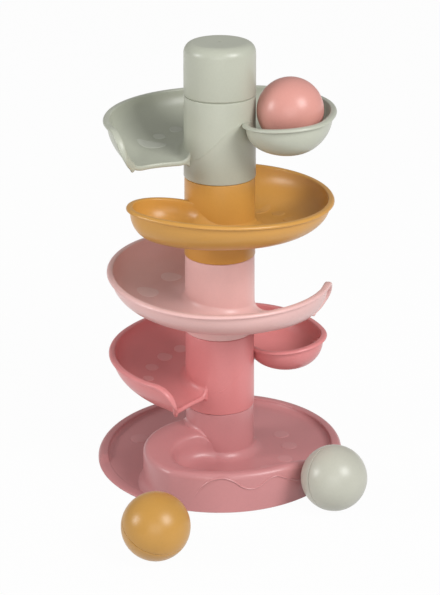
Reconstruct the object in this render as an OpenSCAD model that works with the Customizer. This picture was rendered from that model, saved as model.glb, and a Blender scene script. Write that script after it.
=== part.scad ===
// Spiral ball tower for a small child: a tray with a post, four stacking column segments that each
// carry a spiral trough, a cap, and three hollow balls. Millimetres, +Z up, the column's axis is the
// Z axis and the tray stands on the plane z = 0. The front faces -Y.

/* [Column] */
// Outer radius of a column segment at its foot
column_r = 30; // [27:0.5:33]
// Height from the foot of one segment to the foot of the next
pitch = 69; // [66:0.5:76]
// Amount by which a segment's radius shrinks from foot to top, for the mould
column_draft = 0.6; // [0.2:0.1:1]
// Wall of the column tube
column_wall = 2.6; // [2:0.1:3.2]
// Bevel on the rims of the column segments
column_bevel = 0.7; // [0.3:0.1:1.2]
// Height of the spigot that the next segment sits on
spigot_h = 14; // [10:1:18]
// Wall of the spigot
spigot_wall = 2.4; // [1.8:0.1:3]
// Gap all round between a spigot and its socket
spigot_gap = 0.35; // [0.2:0.05:0.6]
// Width of the key that sets each segment's angle
key_w = 5; // [3:0.5:8]

/* [Stack] */
// Angle where the lowest trough starts, from +X towards +Y
first_start = 16; // [0:1:40]
// Angle between the starts of two neighbouring troughs
turn_step = 106; // [102:1:112]
// Visible height of the cap
cap_h = 44; // [36:1:52]
// Radius of the cap's rounded top edge
cap_round = 8.5; // [4:0.5:12]

/* [Trough] */
// Radius of the inside face of the outer wall
trough_r = 90.2; // [86:0.2:94]
// Wall of the trough
trough_wall = 2.4; // [1.8:0.1:3]
// Angle from the start cup's centre to the lip, for each slide from the lowest up
trough_sweeps = [231, 235, 236, 240]; // [222:1:244]
// Height of the floor above the segment's foot, at the start
floor_start_z = 30; // [27:0.2:33]
// Height of the floor above the segment's foot, at the lip
floor_end_z = 18; // [14:0.5:21]
// Height of the rim above the segment's foot, at the start
rim_start_z = 58.5; // [54:0.5:62]
// Height of the rim above the segment's foot, at the end
rim_end_z = 50.5; // [44:0.5:54]
// Amount by which the start cup's rim dips to the column
rim_dip = 7; // [0:0.5:10]
// Amount by which the rolled rim stands out from the wall
bead_out = 3; // [1:0.1:4]
// Height of the rolled rim
bead_h = 4.5; // [3:0.1:6]
// Fillet between the floor and the column
floor_fillet = 9; // [5:0.5:14]
// Width of the curve from the floor up to the outer wall
wall_curve = 34; // [28:0.5:36]
// Depth of the hollow curve in the lip's edge
lip_scoop = 9; // [0:0.5:12]
// Angle over which the wall's end corner is rounded off
corner_turn = 13; // [8:1:18]

/* [Tray] */
// Radius of the tray
tray_r = 107; // [102:0.5:112]
// Height of the post's shoulder, where the lowest segment stands
post_h = 52; // [50:0.5:58]
// Angle of the centre of the start pocket
pocket_start = 265; // [258:1:272]
// Width of the tray's rolled rim
rim_w = 9; // [6:0.5:11]
// Height of the raised shoulder round the start pocket
shoulder_h = 35; // [32:0.5:38]
// Height of the channel's floor in the start pocket
pocket_z = 10.5; // [8:0.5:14]
// Height of the channel's floor at the run-out
runout_z = 1.6; // [1.2:0.1:3]
// Height of the rim where the front wall has come down
rim_low_z = 14; // [11:0.5:17]
// Wall and floor of the tray over the hollow underside
tray_wall = 3; // [2:0.1:3.6]

/* [Balls] */
// Room on each side of a ball in the middle of a start cup
ball_play = 2.9; // [2.4:0.1:5]
// Wall of a ball's half shells
ball_wall = 2; // [1.4:0.1:3]
// Height of the lip that joins the two half shells
ball_lip_h = 3; // [2:0.1:5]
// Gap between that lip and the other half shell
ball_lip_gap = 0.1; // [0.05:0.01:0.2]
// Angle of the ball in the top cup, past the cup's centre
cup_ball_turn = 19; // [12:1:24]
// Where the ball in front of the tray stands
front_ball_at = [-50.3, -177.1]; // [-220:0.1:220]
// Angle where the ball beside the tray stands
side_ball_turn = -45.5; // [-60:0.5:-30]
// Gap between the tray and that ball
side_ball_gap = 0.5; // [0.3:0.1:0.9]

/* [Hidden] */
$fn = 96;

MAUVE = [0.72, 0.46, 0.47];
CORAL = [0.84, 0.48, 0.49];
BLUSH = [0.90, 0.68, 0.67];
MUSTARD = [0.80, 0.58, 0.26];
SAGE = [0.73, 0.76, 0.69];
BALL_PINK = [0.90, 0.60, 0.57];

// Radii of the joint between two segments
column_top_r = column_r - column_draft;
socket_r = column_r - column_wall;
spigot_r = socket_r - spigot_gap;
spigot_bore_r = spigot_r - spigot_wall;
key_angle = 180;
key_gap = 0.4;
key_lift = 2;
key_top_gap = 1;
// Cuts run past a face by this much
cut = 1;

// Plan of a trough: its middle radius and half its width, and the size of the balls that run in it
root_r = column_top_r;
mid_r = (root_r + trough_r) / 2;
half_w = (trough_r - root_r) / 2;
ball_r = half_w - ball_play;
root_depth = column_wall / 2;

// Smooth step from 0 to 1
function ease(x) = let(t = min(1, max(0, x))) t * t * (3 - 2 * t);
function mix(a, b, t) = a + (b - a) * t;
function polar(r, angle) = [r * cos(angle), r * sin(angle)];
function foot_z(level) = post_h + pitch * level;
function start_angle(level) = first_start + turn_step * level;

// Heights along a trough, by the angle travelled from the centre of its start cup
fall_power = 1.6;
full_turn = max(trough_sweeps);
function floor_z(turn) = mix(floor_start_z, floor_end_z, pow(turn / full_turn, fall_power));
rim_fall_from = 15;
rim_fall_to = 140;
function rim_level(turn) =
    mix(rim_start_z, rim_end_z, ease((turn - rim_fall_from) / (rim_fall_to - rim_fall_from)));
// At the end the wall's corner is rounded down to the lip; left is the angle left to the lip
lip_wall = 4;
lip_rise = bead_h + lip_wall;
function rim_z(turn, left) =
    let(lip = floor_z(turn) + lip_rise, share = min(1, max(0, 1 - left / corner_turn)))
    mix(lip, rim_level(turn), sqrt(1 - share * share));

// The start cup is as deep at the column as at its outer wall. Further on, the floor meets the column
// in a plain fillet.
cup_fade = 55;
function cup_share(turn) = 1 - ease(turn / cup_fade);
curve_steps = 6;
bead_edge = 1.1;
bead_points = 4;
half_points = 2 * curve_steps + bead_points;
section_points = 2 * half_points + 2;
lip_thicker = 1;
lip_length = 8;
function wall_at(left) = trough_wall + lip_thicker * ease((lip_length - left) / lip_length);
function curve_w(turn) = mix(wall_curve, half_w, cup_share(turn));

// Outer half of a section as [distance from the floor's lowest line, height] points: up the inside of the
// bowl, over the rolled rim and down the outside. Pinch thins it, for the rounded edge of the lip.
function outer_half(turn, left, pinch) =
    let(
        top_z = floor_z(turn) - pinch,
        under_z = top_z - wall_at(left) + 2 * pinch,
        rim = rim_z(turn, left) - pinch,
        out_w = curve_w(turn),
        out_h = rim_level(turn) - bead_edge - top_z,
        reach = acos(1 - (rim - bead_edge - top_z) / out_h),
        edge = out_w * sin(reach),
        skin = edge + trough_wall,
        skin_w = skin / sin(reach),
        skin_h = (rim - bead_h - under_z) / (1 - cos(reach)))
    concat(
        [for (i = [1 : curve_steps]) let(a = reach * i / curve_steps)
            [out_w * sin(a), top_z + out_h * (1 - cos(a))]],
        [[edge + bead_edge, rim], [skin + bead_out - bead_edge, rim], [skin + bead_out, rim - bead_edge],
         [skin + bead_out, rim - bead_h + bead_edge]],
        [for (i = [curve_steps : -1 : 1]) let(a = reach * i / curve_steps)
            [skin_w * sin(a), under_z + skin_h * (1 - cos(a))]]);

// The same half where the start cup turns back to the column by the angle back: its rim dips
dip_power = 1.4;
function cup_half(back) =
    let(share = 1 - rim_dip * pow((1 - cos(back)) / 2, dip_power) / (rim_start_z - floor_start_z))
    [for (p = outer_half(0, full_turn, 0))
        [p[0], p[1] > floor_start_z ? floor_start_z + (p[1] - floor_start_z) * share : p[1]]];

// Inner half of a section, from the lowest line to inside the column's wall
function inner_half(turn, left, pinch) =
    let(
        top_z = floor_z(turn) - pinch,
        under_z = top_z - wall_at(left) + 2 * pinch,
        span = trough_r - curve_w(turn) - root_r,
        under_fillet = floor_fillet / 2,
        plain = concat(
            [for (i = [1 : curve_steps]) let(a = 90 * i / curve_steps)
                [span - floor_fillet * (1 - sin(a)), top_z + floor_fillet * (1 - cos(a))]],
            [for (i = [1 : bead_points])
                [span + root_depth, mix(top_z + floor_fillet, under_z - under_fillet, i / (bead_points + 1))]],
            [for (i = [curve_steps : -1 : 1]) let(a = 90 * i / curve_steps)
                [span - under_fillet * (1 - sin(a)), under_z - under_fillet * (1 - cos(a))]]),
        cup = cup_half(180),
        share = cup_share(turn))
    [for (i = [0 : half_points - 1])
        [mix(plain[i][0], cup[i][0], share), mix(plain[i][1], cup[i][1] - floor_start_z + top_z, share)]];

// One whole section as [radius, height] points, from the lowest line outwards and round
function reversed(list) = [for (i = [len(list) - 1 : -1 : 0]) list[i]];
function section(turn, left, pinch) =
    let(low_r = trough_r - curve_w(turn), top_z = floor_z(turn) - pinch)
    concat(
        [[low_r, top_z]],
        [for (p = outer_half(turn, left, pinch)) [low_r + p[0], p[1]]],
        [[low_r, top_z - wall_at(left) + 2 * pinch]],
        [for (p = reversed(inner_half(turn, left, pinch))) [low_r - p[0], p[1]]]);

// Angles of the sections: even steps along the run, then closer ones round the wall's end corner
run_steps = 29;
corner_steps = 6;
lip_edge = 0.7;
function stations(sweep) =
    let(run_end = sweep - corner_turn)
    concat(
        [for (i = [0 : run_steps]) run_end * i / run_steps],
        [for (i = [1 : corner_steps]) run_end + corner_turn * sin(90 * i / corner_steps)],
        [sweep + lip_edge / mid_r * 180 / PI]);

// The lip's edge curves back between the column and the outer corner
scoop_run = 45;
function scoop(r, left) =
    let(across = min(1, abs(r - mid_r) / half_w))
    lip_scoop / mid_r * 180 / PI * (1 - across * across) * ease((scoop_run - left) / scoop_run);

function trough_ring(turn, left, pinch) =
    [for (p = section(turn, left, pinch)) let(a = turn - scoop(p[0], left))
        [p[0] * cos(a), p[0] * sin(a), p[1]]];

// Faces of a tube of rings, open at both ends
function tube_faces(rings, n) =
    [for (k = [0 : rings - 2], i = [0 : n - 1], half = [0, 1])
        let(a = k * n + i, b = k * n + (i + 1) % n, c = b + n, d = a + n)
        half == 0 ? [a, c, b] : [a, d, c]];

// Faces of the round end that joins the outer half of the first ring to its inner half. The half sections
// between them follow the rings in the list of points, from the number first on.
function round_point(k, j, steps, half, first) =
    k == 0 ? 1 + j : k == steps ? 2 * half + 1 - j : first + (k - 1) * half + j;
function round_faces(steps, half, first) =
    concat(
        [for (k = [0 : steps - 1], j = [0 : half - 2], side = [0, 1])
            let(
                a = round_point(k, j, steps, half, first),
                b = round_point(k, j + 1, steps, half, first),
                c = round_point(k + 1, j + 1, steps, half, first),
                d = round_point(k + 1, j, steps, half, first))
            side == 0 ? [a, b, c] : [a, c, d]],
        [for (k = [0 : steps - 1])
            [0, round_point(k, 0, steps, half, first), round_point(k + 1, 0, steps, half, first)]],
        [for (k = [0 : steps - 1])
            [half + 1, round_point(k + 1, half - 1, steps, half, first),
             round_point(k, half - 1, steps, half, first)]]);

// Faces that close the last ring at the lip: strips between its inside and outside, and both its edges
function lip_faces(first) =
    concat(
        [for (k = [0 : 2 * curve_steps - 1], side = [0, 1])
            let(
                a = first + (section_points - curve_steps + k) % section_points,
                b = first + (section_points - curve_steps + k + 1) % section_points,
                d = first + half_points + 1 + curve_steps - k,
                c = d - 1)
            side == 0 ? [c, b, a] : [d, c, a]],
        [for (k = [0 : bead_points - 1], edge = [curve_steps, half_points + 1 + curve_steps])
            [first + edge + k + 1, first + edge + k, first + edge + bead_points + 1]]);

// A spiral trough from its start cup to its lip
cup_steps = 10;
module trough(sweep) {
    at = stations(sweep);
    last = len(at) - 1;
    polyhedron(
        points = concat(
            [for (k = [0 : last], p = trough_ring(at[k], sweep - at[k], k == last ? lip_edge : 0)) p],
            [for (k = [1 : cup_steps - 1], p = cup_half(180 * k / cup_steps)) let(back = 180 * k / cup_steps)
                [mid_r + p[0] * cos(back), -p[0] * sin(back), p[1]]]),
        faces = concat(
            tube_faces(last + 1, section_points),
            round_faces(cup_steps, half_points, (last + 1) * section_points),
            lip_faces(last * section_points)),
        convexity = 8);
}

// Outside of a column segment with its spigot
module column_outside(height) {
    rotate_extrude()
        polygon([[0, 0], [column_r - column_bevel / 2, 0], [column_r, column_bevel / 2],
                 [column_top_r, height - column_bevel], [column_top_r - column_bevel, height],
                 [spigot_r, height], [spigot_r, height + spigot_h - column_bevel],
                 [spigot_r - column_bevel, height + spigot_h], [0, height + spigot_h]]);
}

// Inside of a column segment: the socket at its foot, the tube and the bore of the spigot
module column_inside(height, from = -cut) {
    slope = socket_r - spigot_bore_r;
    top = height - trough_wall - slope;
    rotate_extrude()
        polygon([[0, from], [socket_r, from], [socket_r, top], [spigot_bore_r, top + slope],
                 [spigot_bore_r, height + spigot_h + cut], [0, height + spigot_h + cut]]);
}

// Slot in a spigot, and the key in a socket that drops into it
module key_slot(height) {
    width = key_w + 2 * key_gap;
    rotate(key_angle)
        translate([spigot_bore_r - cut, -width / 2, height + key_gap])
            cube([spigot_wall + spigot_gap + 2 * cut, width, spigot_h + cut]);
}

module key() {
    rotate(key_angle)
        translate([spigot_bore_r, -key_w / 2, key_lift])
            cube([column_r - column_wall / 2 - spigot_bore_r, key_w, spigot_h - key_lift - key_top_gap]);
}

// A column segment with its trough, in its own frame: foot at z = 0, start cup's centre along +X
module segment(sweep) {
    difference() {
        union() {
            column_outside(pitch);
            trough(sweep);
        }
        column_inside(pitch);
        rotate(turn_step)
            key_slot(pitch);
    }
    key();
}

module slide(level) {
    translate([0, 0, foot_z(level)])
        rotate(start_angle(level))
            segment(trough_sweeps[level]);
}

module slide_coral() {
    color(CORAL) slide(0);
}

module slide_blush() {
    color(BLUSH) slide(1);
}

module slide_mustard() {
    color(MUSTARD) slide(2);
}

module slide_sage() {
    color(SAGE) slide(3);
}

// The cap: a rounded cup turned upside down over the top spigot
module top_cap() {
    inner_round = cap_round - column_wall;
    arc_steps = 8;
    color(SAGE)
    translate([0, 0, foot_z(4)])
        rotate(start_angle(4)) {
            rotate_extrude()
                polygon(concat(
                    [[socket_r, 0], [column_r - column_bevel, 0], [column_r - column_bevel / 2, column_bevel / 2]],
                    [for (i = [0 : arc_steps]) let(a = 90 * i / arc_steps)
                        [column_top_r - cap_round + cap_round * cos(a), cap_h - cap_round + cap_round * sin(a)]],
                    [[0, cap_h], [0, cap_h - column_wall]],
                    [for (i = [arc_steps : -1 : 0]) let(a = 90 * i / arc_steps)
                        [column_top_r - cap_round + inner_round * cos(a),
                         cap_h - cap_round + inner_round * sin(a)]]));
            key();
        }
}

// The tray's channel is one turn, measured from the centre of its start pocket
tray_sweep = 332;
plate_sweep = 350;
channel_back = 4;
tray_in_r = tray_r - rim_w;
tray_mid_r = (root_r + tray_in_r) / 2;
tray_half_w = (tray_in_r - root_r) / 2;
tray_fall = 1.2;
function tray_floor_z(turn) =
    runout_z + (pocket_z - runout_z) * pow(max(0, 1 - max(0, turn) / tray_sweep), tray_fall);

// The rim comes down behind the front wall, falls slowly round the back and ends before the run-out
front_wall_turn = 35;
low_rim_turn = 85;
rim_end_turn = 282;
rim_close_turn = 6;
rim_last_z = 6;
runout_lip = 1.2;
function tray_rim_z(turn) =
    let(
        low = mix(rim_low_z, rim_last_z, max(0, turn - low_rim_turn) / (rim_end_turn - low_rim_turn)),
        high = mix(shoulder_h, low, ease((turn - front_wall_turn) / (low_rim_turn - front_wall_turn))),
        open = ease((turn - rim_end_turn) / rim_close_turn))
    mix(high, tray_floor_z(turn) + runout_lip, open);

// Rounded top edge of the shoulder and of the rim, as insets from the side and drops below the top
edge_round = [[4.5, 0], [3, 0.3], [1.6, 1.2], [0.5, 3], [0, 5.5]];
edge_points = len(edge_round);
tray_half_points = curve_steps + edge_points + 2;
tray_points = 2 * tray_half_points + 2;
inner_edge = [1.6, 1.2];
edge_share = 0.8 / edge_round[edge_points - 1][1];
full_wall = 28;
function tray_curve_w(turn) =
    mix(wall_curve * min(1, (tray_rim_z(turn) - tray_floor_z(turn)) / full_wall), tray_half_w, cup_share(turn));

// Outer half of a section of the tray, as [distance from the floor's lowest line, height] points: up the
// bowl, over the rim and down to the height foot at the distance reach
function tray_half(turn, bowl, reach, foot) =
    let(
        floor_here = tray_floor_z(turn),
        rim = tray_rim_z(turn),
        drop = min(1, (rim - runout_z / 2) * edge_share),
        inset = drop * min(1, (reach - bowl) / rim_w),
        height = rim - inner_edge[1] * drop - floor_here)
    concat(
        [for (i = [1 : curve_steps]) let(a = 90 * i / curve_steps)
            [bowl * sin(a), floor_here + height * (1 - cos(a))]],
        [[bowl + inner_edge[0] * inset, rim]],
        [for (e = edge_round) [reach - e[0] * inset, rim - e[1] * drop]],
        [[reach, foot]]);

// The raised shoulder behind the start pocket leaves the post, swings round the pocket and runs into the
// tray's edge. It laps the channel's start by a small angle. The angle back is turned about the pocket's
// centre. Inside the post its outline goes on straight.
shoulder_lap = 1;
shoulder_at = polar(51.9, -2.1 - shoulder_lap);
shoulder_r = 58.8;
neck_r = column_r / 3;
leave_angle = atan2(shoulder_at[1], shoulder_at[0]) - acos((neck_r - shoulder_r) / norm(shoulder_at));
leave_way = polar(1, leave_angle);
swing_at = shoulder_at + shoulder_r * leave_way;
pocket_at = [tray_mid_r, 0];
function back_of(p) = atan2(-p[1], p[0] - tray_mid_r);
function circle_reach(centre, r, way) =
    let(q = pocket_at - centre, along = q * way)
    sqrt(along * along - q * q + r * r) - along;
function shoulder_reach(back) =
    let(way = polar(1, -back))
    back < back_of(swing_at)
        ? min(circle_reach([0, 0], tray_r, way), circle_reach(shoulder_at, shoulder_r, way))
        : (neck_r - leave_way * pocket_at) / (leave_way * way);
pocket_steps = 14;
shoulder_foot = 0.8;
post_foot = 1;
neck_back = 164;
neck_end = 172;
pocket_backs = concat(
    [for (i = [0 : pocket_steps - 2]) neck_back * i / (pocket_steps - 2)], [neck_end, 180]);
// The shoulder's top comes down along the post, to the floor's fillet
dip_back = 150;
function pocket_half(k) =
    let(
        reach = k < pocket_steps - 1 ? shoulder_reach(pocket_backs[k]) : tray_half_w + root_depth,
        share = ease((pocket_backs[k] - dip_back) / (180 - dip_back)),
        high = tray_half(0, tray_half_w, reach, 0),
        low = tray_inner_half(0))
    [for (i = [0 : tray_half_points - 1]) mix(high[i], low[i], share)];
// The shoulder's skin lies over the channel's by this much, where the two meet
shoulder_over = 0.3;
function shoulder_half(k) =
    let(half = pocket_half(k))
    [for (i = [0 : tray_half_points - 1])
        i < curve_steps
            ? [half[i][0] * (1 - shoulder_over / tray_half_w), half[i][1] + shoulder_over]
            : [half[i][0] + shoulder_over, i < tray_half_points - 1 ? half[i][1] + shoulder_over : shoulder_foot]];

// Inner half of a section of the tray, from the lowest line to inside the post's wall
function tray_inner_half(turn) =
    let(
        floor_here = tray_floor_z(turn),
        span = tray_in_r - tray_curve_w(turn) - root_r)
    concat(
        [for (i = [1 : curve_steps]) let(a = 90 * i / curve_steps)
            [span - floor_fillet * (1 - sin(a)), floor_here + floor_fillet * (1 - cos(a))]],
        [for (i = [0 : edge_points])
            [span + root_depth, mix(floor_here + floor_fillet, post_foot, i / (edge_points + 1))]],
        [[span + root_depth, post_foot]]);

// Under the shoulder the channel goes on as a thin plate, a little smaller than the tray
plate_inset = 0.6;
plate_fade = 4;
function tray_section(turn) =
    let(
        low_r = tray_in_r - tray_curve_w(turn),
        inset = plate_inset * ease((turn - tray_sweep) / plate_fade))
    concat(
        [[low_r, tray_floor_z(turn)]],
        [for (p = tray_half(turn, tray_curve_w(turn), tray_curve_w(turn) + rim_w - inset, 0)) [low_r + p[0], p[1]]],
        [[low_r, 0]],
        [for (p = reversed(tray_inner_half(turn))) [low_r - p[0], p[1]]]);

// Faces that close a ring of the tray whose points are numbered from first on
function tray_end(first) =
    let(foot_point = tray_half_points + 2, post_point = tray_points - curve_steps)
    concat(
        [for (i = [0 : tray_half_points - 2]) [first + i + 1, first + i, first + tray_half_points]],
        [[first, first + tray_half_points + 1, first + tray_half_points]],
        [for (i = [foot_point : post_point - 2]) [first + i + 1, first + i, first + post_point]],
        [for (i = [post_point : tray_points - 1]) [first + (i + 1) % tray_points, first + i, first + foot_point]],
        [[first + foot_point, first + tray_half_points + 1, first]]);
function flipped(faces) = [for (f = faces) [f[2], f[1], f[0]]];

// The channel with its rim, from the start pocket round to the run-out and under the shoulder
tray_steps = 46;
tray_stations = concat([-channel_back], [for (k = [0 : tray_steps - 1]) plate_sweep * k / (tray_steps - 1)]);
module tray_channel() {
    polyhedron(
        points = [for (a = tray_stations, p = tray_section(a))
            [p[0] * cos(a), p[0] * sin(a), p[1] > post_foot ? p[1] + min(0, a) / 2 : p[1]]],
        faces = concat(
            tube_faces(tray_steps + 1, tray_points),
            flipped(tray_end(0)),
            tray_end(tray_steps * tray_points)),
        convexity = 8);
}

// The shoulder round the back of the start pocket
module tray_shoulder() {
    polyhedron(
        points = concat(
            [[tray_mid_r, 0, pocket_z + shoulder_over]],
            [for (p = shoulder_half(0)) [tray_mid_r + p[0], 0, p[1]]],
            [[tray_mid_r, 0, shoulder_foot]],
            [for (p = reversed(shoulder_half(pocket_steps))) [tray_mid_r - p[0], 0, p[1]]],
            [for (k = [1 : pocket_steps - 1], p = shoulder_half(k)) let(back = pocket_backs[k])
                [tray_mid_r + p[0] * cos(back), -p[0] * sin(back), p[1]]]),
        faces = concat(
            round_faces(pocket_steps, tray_half_points, tray_points),
            tray_end(0)),
        convexity = 6);
}

// Hollows under the tray, with ribs between them: as high as the channel's floor leaves room for
hollow_count = 5;
hollow_turn = 30;
rib_turn = 4;
module hollow(height) {
    rotate(rib_turn / 2)
        rotate_extrude(angle = hollow_turn - rib_turn)
            translate([column_r + tray_wall, -cut])
                square([tray_mid_r + tray_half_w / 2 - column_r - tray_wall, height + cut]);
}

module base_tray() {
    color(MAUVE)
    difference() {
        union() {
            rotate(pocket_start) {
                tray_channel();
                rotate(shoulder_lap)
                    tray_shoulder();
            }
            column_outside(post_h);
        }
        column_inside(post_h, tray_wall);
        rotate(start_angle(0))
            key_slot(post_h);
        for (i = [-1 : hollow_count - 1])
            rotate(pocket_start + i * hollow_turn)
                hollow(tray_floor_z(max(0, i + 1) * hollow_turn) - tray_wall);
    }
}

// Half shells of a ball, about the ball's centre: the seam lies in the XY plane
module ball_shell(lipped) {
    lip_r = ball_r - ball_wall / 2;
    size = 2 * (ball_r + cut);
    difference() {
        sphere(r = ball_r);
        sphere(r = ball_r - ball_wall);
        translate([-size / 2, -size / 2, -size])
            cube(size);
        if (!lipped)
            translate([0, 0, -cut])
                cylinder(r = lip_r + ball_lip_gap, h = ball_lip_h + ball_lip_gap + cut);
    }
    if (lipped)
        difference() {
            translate([0, 0, -ball_lip_h])
                cylinder(r = lip_r, h = ball_lip_h + ball_wall / 2);
            translate([0, 0, -ball_lip_h - cut])
                cylinder(r = lip_r - ball_wall / 2, h = ball_lip_h + ball_wall + 2 * cut);
        }
}

// Places of the balls; the one in the cup is drawn this far from the cup and the column
ball_gap = 0.3;
side_ball_at = polar(tray_r + ball_r + side_ball_gap, side_ball_turn);
cup_ball_at = concat(
    polar(column_r + ball_r + ball_gap, start_angle(3) + cup_ball_turn),
    [foot_z(3) + floor_z(cup_ball_turn) + ball_r + ball_gap]);

module ball_half(at, tilt, colour, first) {
    color(colour)
    translate(at)
        rotate(tilt)
            mirror([0, 0, first ? 0 : 1])
                ball_shell(first);
}

// Tilts of the balls' seams, as they lie
pink_tilt = [0, 40, -110];
mustard_tilt = [0, 29, -51];
sage_tilt = [0, 72, -52];

module pink_ball_shell_a() {
    ball_half(cup_ball_at, pink_tilt, BALL_PINK, true);
}

module pink_ball_shell_b() {
    ball_half(cup_ball_at, pink_tilt, BALL_PINK, false);
}

module mustard_ball_shell_a() {
    ball_half(concat(front_ball_at, [ball_r]), mustard_tilt, MUSTARD, true);
}

module mustard_ball_shell_b() {
    ball_half(concat(front_ball_at, [ball_r]), mustard_tilt, MUSTARD, false);
}

module sage_ball_shell_a() {
    ball_half(concat(side_ball_at, [ball_r]), sage_tilt, SAGE, true);
}

module sage_ball_shell_b() {
    ball_half(concat(side_ball_at, [ball_r]), sage_tilt, SAGE, false);
}

base_tray();
slide_coral();
slide_blush();
slide_mustard();
slide_sage();
top_cap();
pink_ball_shell_a();
pink_ball_shell_b();
mustard_ball_shell_a();
mustard_ball_shell_b();
sage_ball_shell_a();
sage_ball_shell_b();
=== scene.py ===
"""Looks of the spiral ball tower: smooth troughs, tray, cap and balls in satin moulded plastic."""

import math

import bpy
import numpy as np
from mathutils import Euler, Matrix, Vector


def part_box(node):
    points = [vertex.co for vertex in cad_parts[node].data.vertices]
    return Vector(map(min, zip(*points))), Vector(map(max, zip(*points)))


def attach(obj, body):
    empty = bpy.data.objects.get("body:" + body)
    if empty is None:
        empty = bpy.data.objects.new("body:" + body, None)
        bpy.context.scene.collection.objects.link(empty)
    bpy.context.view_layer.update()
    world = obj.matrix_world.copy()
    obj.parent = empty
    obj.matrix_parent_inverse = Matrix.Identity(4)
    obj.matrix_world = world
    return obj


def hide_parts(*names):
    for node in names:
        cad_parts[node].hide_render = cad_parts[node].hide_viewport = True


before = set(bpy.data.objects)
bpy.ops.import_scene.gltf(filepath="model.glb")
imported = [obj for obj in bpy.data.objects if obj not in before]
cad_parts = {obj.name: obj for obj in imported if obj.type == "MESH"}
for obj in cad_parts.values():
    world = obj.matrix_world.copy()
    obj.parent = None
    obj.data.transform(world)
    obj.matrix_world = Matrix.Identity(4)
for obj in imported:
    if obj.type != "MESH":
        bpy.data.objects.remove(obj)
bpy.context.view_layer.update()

bl_info = {
    "name": "Spiral ball tower",
    "version": (1, 0, 0),
    "blender": (4, 5, 0),
    "location": "3D View > Sidebar > Ball tower",
    "description": "Builds the tower's tray, slides, cap and balls over its solid model",
    "category": "Add Mesh",
}

MM = 0.001
SLIDES = ("coral", "blush", "mustard", "sage")
BALLS = ("pink", "mustard", "sage")


def length(name, description, millimetres):
    """A size in metres, whose default is written in millimetres."""
    return bpy.props.FloatProperty(
        name=name, description=description, default=millimetres * MM, unit="LENGTH", precision=5)


def angle(name, description, degrees):
    """An angle, whose default is written in degrees."""
    return bpy.props.FloatProperty(
        name=name, description=description, default=math.radians(degrees), subtype="ANGLE")


def colour(name, description, rgb):
    """A colour as linear red, green and blue."""
    return bpy.props.FloatVectorProperty(
        name=name, description=description, default=rgb, size=3, min=0, max=1, subtype="COLOR")


class TowerSizes(bpy.types.PropertyGroup):
    """Sizes of the tower's pieces."""

    column_r: length("Column radius", "Outer radius of a column segment at its foot", 30)
    pitch: length("Segment height", "From the foot of one segment to the foot of the next", 69)
    draft: length("Draft", "How much a segment's radius shrinks from foot to top", 0.6)
    column_wall: length("Column wall", "Wall of the column tube", 2.6)
    column_round: length("Column rim", "Rounding of a segment's rims", 0.7)
    spigot_h: length("Spigot height", "Height of the spigot that the next segment sits on", 14)
    spigot_wall: length("Spigot wall", "Wall of the spigot", 2.4)
    spigot_gap: length("Spigot gap", "Gap between a spigot and its socket", 0.35)
    key_w: length("Key width", "Width of the key that sets a segment's angle", 5)
    first_start: angle("First start", "Angle where the lowest trough starts", 16)
    turn_step: angle("Turn step", "Angle between the starts of two neighbouring troughs", 106)
    coral_sweep: angle("Coral sweep", "Angle from the coral start cup to its lip", 231)
    blush_sweep: angle("Blush sweep", "Angle from the blush start cup to its lip", 235)
    mustard_sweep: angle("Mustard sweep", "Angle from the mustard start cup to its lip", 236)
    sage_sweep: angle("Sage sweep", "Angle from the sage start cup to its lip", 240)
    cap_h: length("Cap height", "Visible height of the cap", 44)
    cap_round: length("Cap rounding", "Radius of the cap's top edge", 8.5)
    trough_r: length("Trough radius", "Inside face of the trough's outer wall", 90.2)
    trough_wall: length("Trough wall", "Wall of a trough", 2.4)
    floor_start_z: length("Floor start", "Floor above the segment's foot, in the start cup", 30)
    floor_end_z: length("Floor end", "Floor above the segment's foot, at the lip", 18)
    rim_start_z: length("Rim start", "Rim above the segment's foot, at the start cup", 58.5)
    rim_end_z: length("Rim end", "Rim above the segment's foot, at the lip", 50.5)
    rim_dip: length("Rim dip", "How much the start cup's rim dips to the column", 7)
    bead_out: length("Bead reach", "How far the rolled rim stands out from the wall", 3)
    bead_h: length("Bead height", "Height of the rolled rim", 3.0)
    floor_fillet: length("Floor fillet", "Fillet between the floor and the column", 9)
    wall_curve: length("Wall curve", "Width of the curve from the floor up to the outer wall", 34)
    lip_scoop: length("Lip scoop", "Depth of the hollow curve in the lip's edge", 9)
    corner_turn: angle("Corner turn", "Angle over which the wall's end corner is rounded", 13)
    tray_r: length("Tray radius", "Radius of the tray", 107)
    post_h: length("Post height", "Shoulder of the post, where the lowest segment stands", 52)
    pocket_start: angle("Pocket angle", "Angle of the centre of the start pocket", 265)
    rim_w: length("Tray rim", "Width of the tray's rolled rim", 9)
    shoulder_h: length("Shoulder height", "Raised shoulder round the start pocket", 35)
    pocket_z: length("Pocket floor", "Height of the channel's floor in the start pocket", 10.5)
    runout_z: length("Run-out floor", "Height of the channel's floor at the run-out", 1.6)
    rim_low_z: length("Low rim", "Height of the tray's rim where its front wall has come down", 14)
    tray_wall: length("Tray wall", "Wall and floor of the tray over its hollow underside", 3)
    ball_r: length("Ball radius", "Radius of a ball", 27.5)
    ball_wall: length("Ball wall", "Wall of a ball's half shells", 2)
    seam_w: length("Seam bevel", "Bevel along the seam of a ball's half shells", 0.35)
    seam_gap: length("Seam gap", "Gap between the edges of a ball's half shells", 0.4)
    lap_h: length("Lap", "Height of the ring that laps the seam inside a ball", 4)


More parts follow.
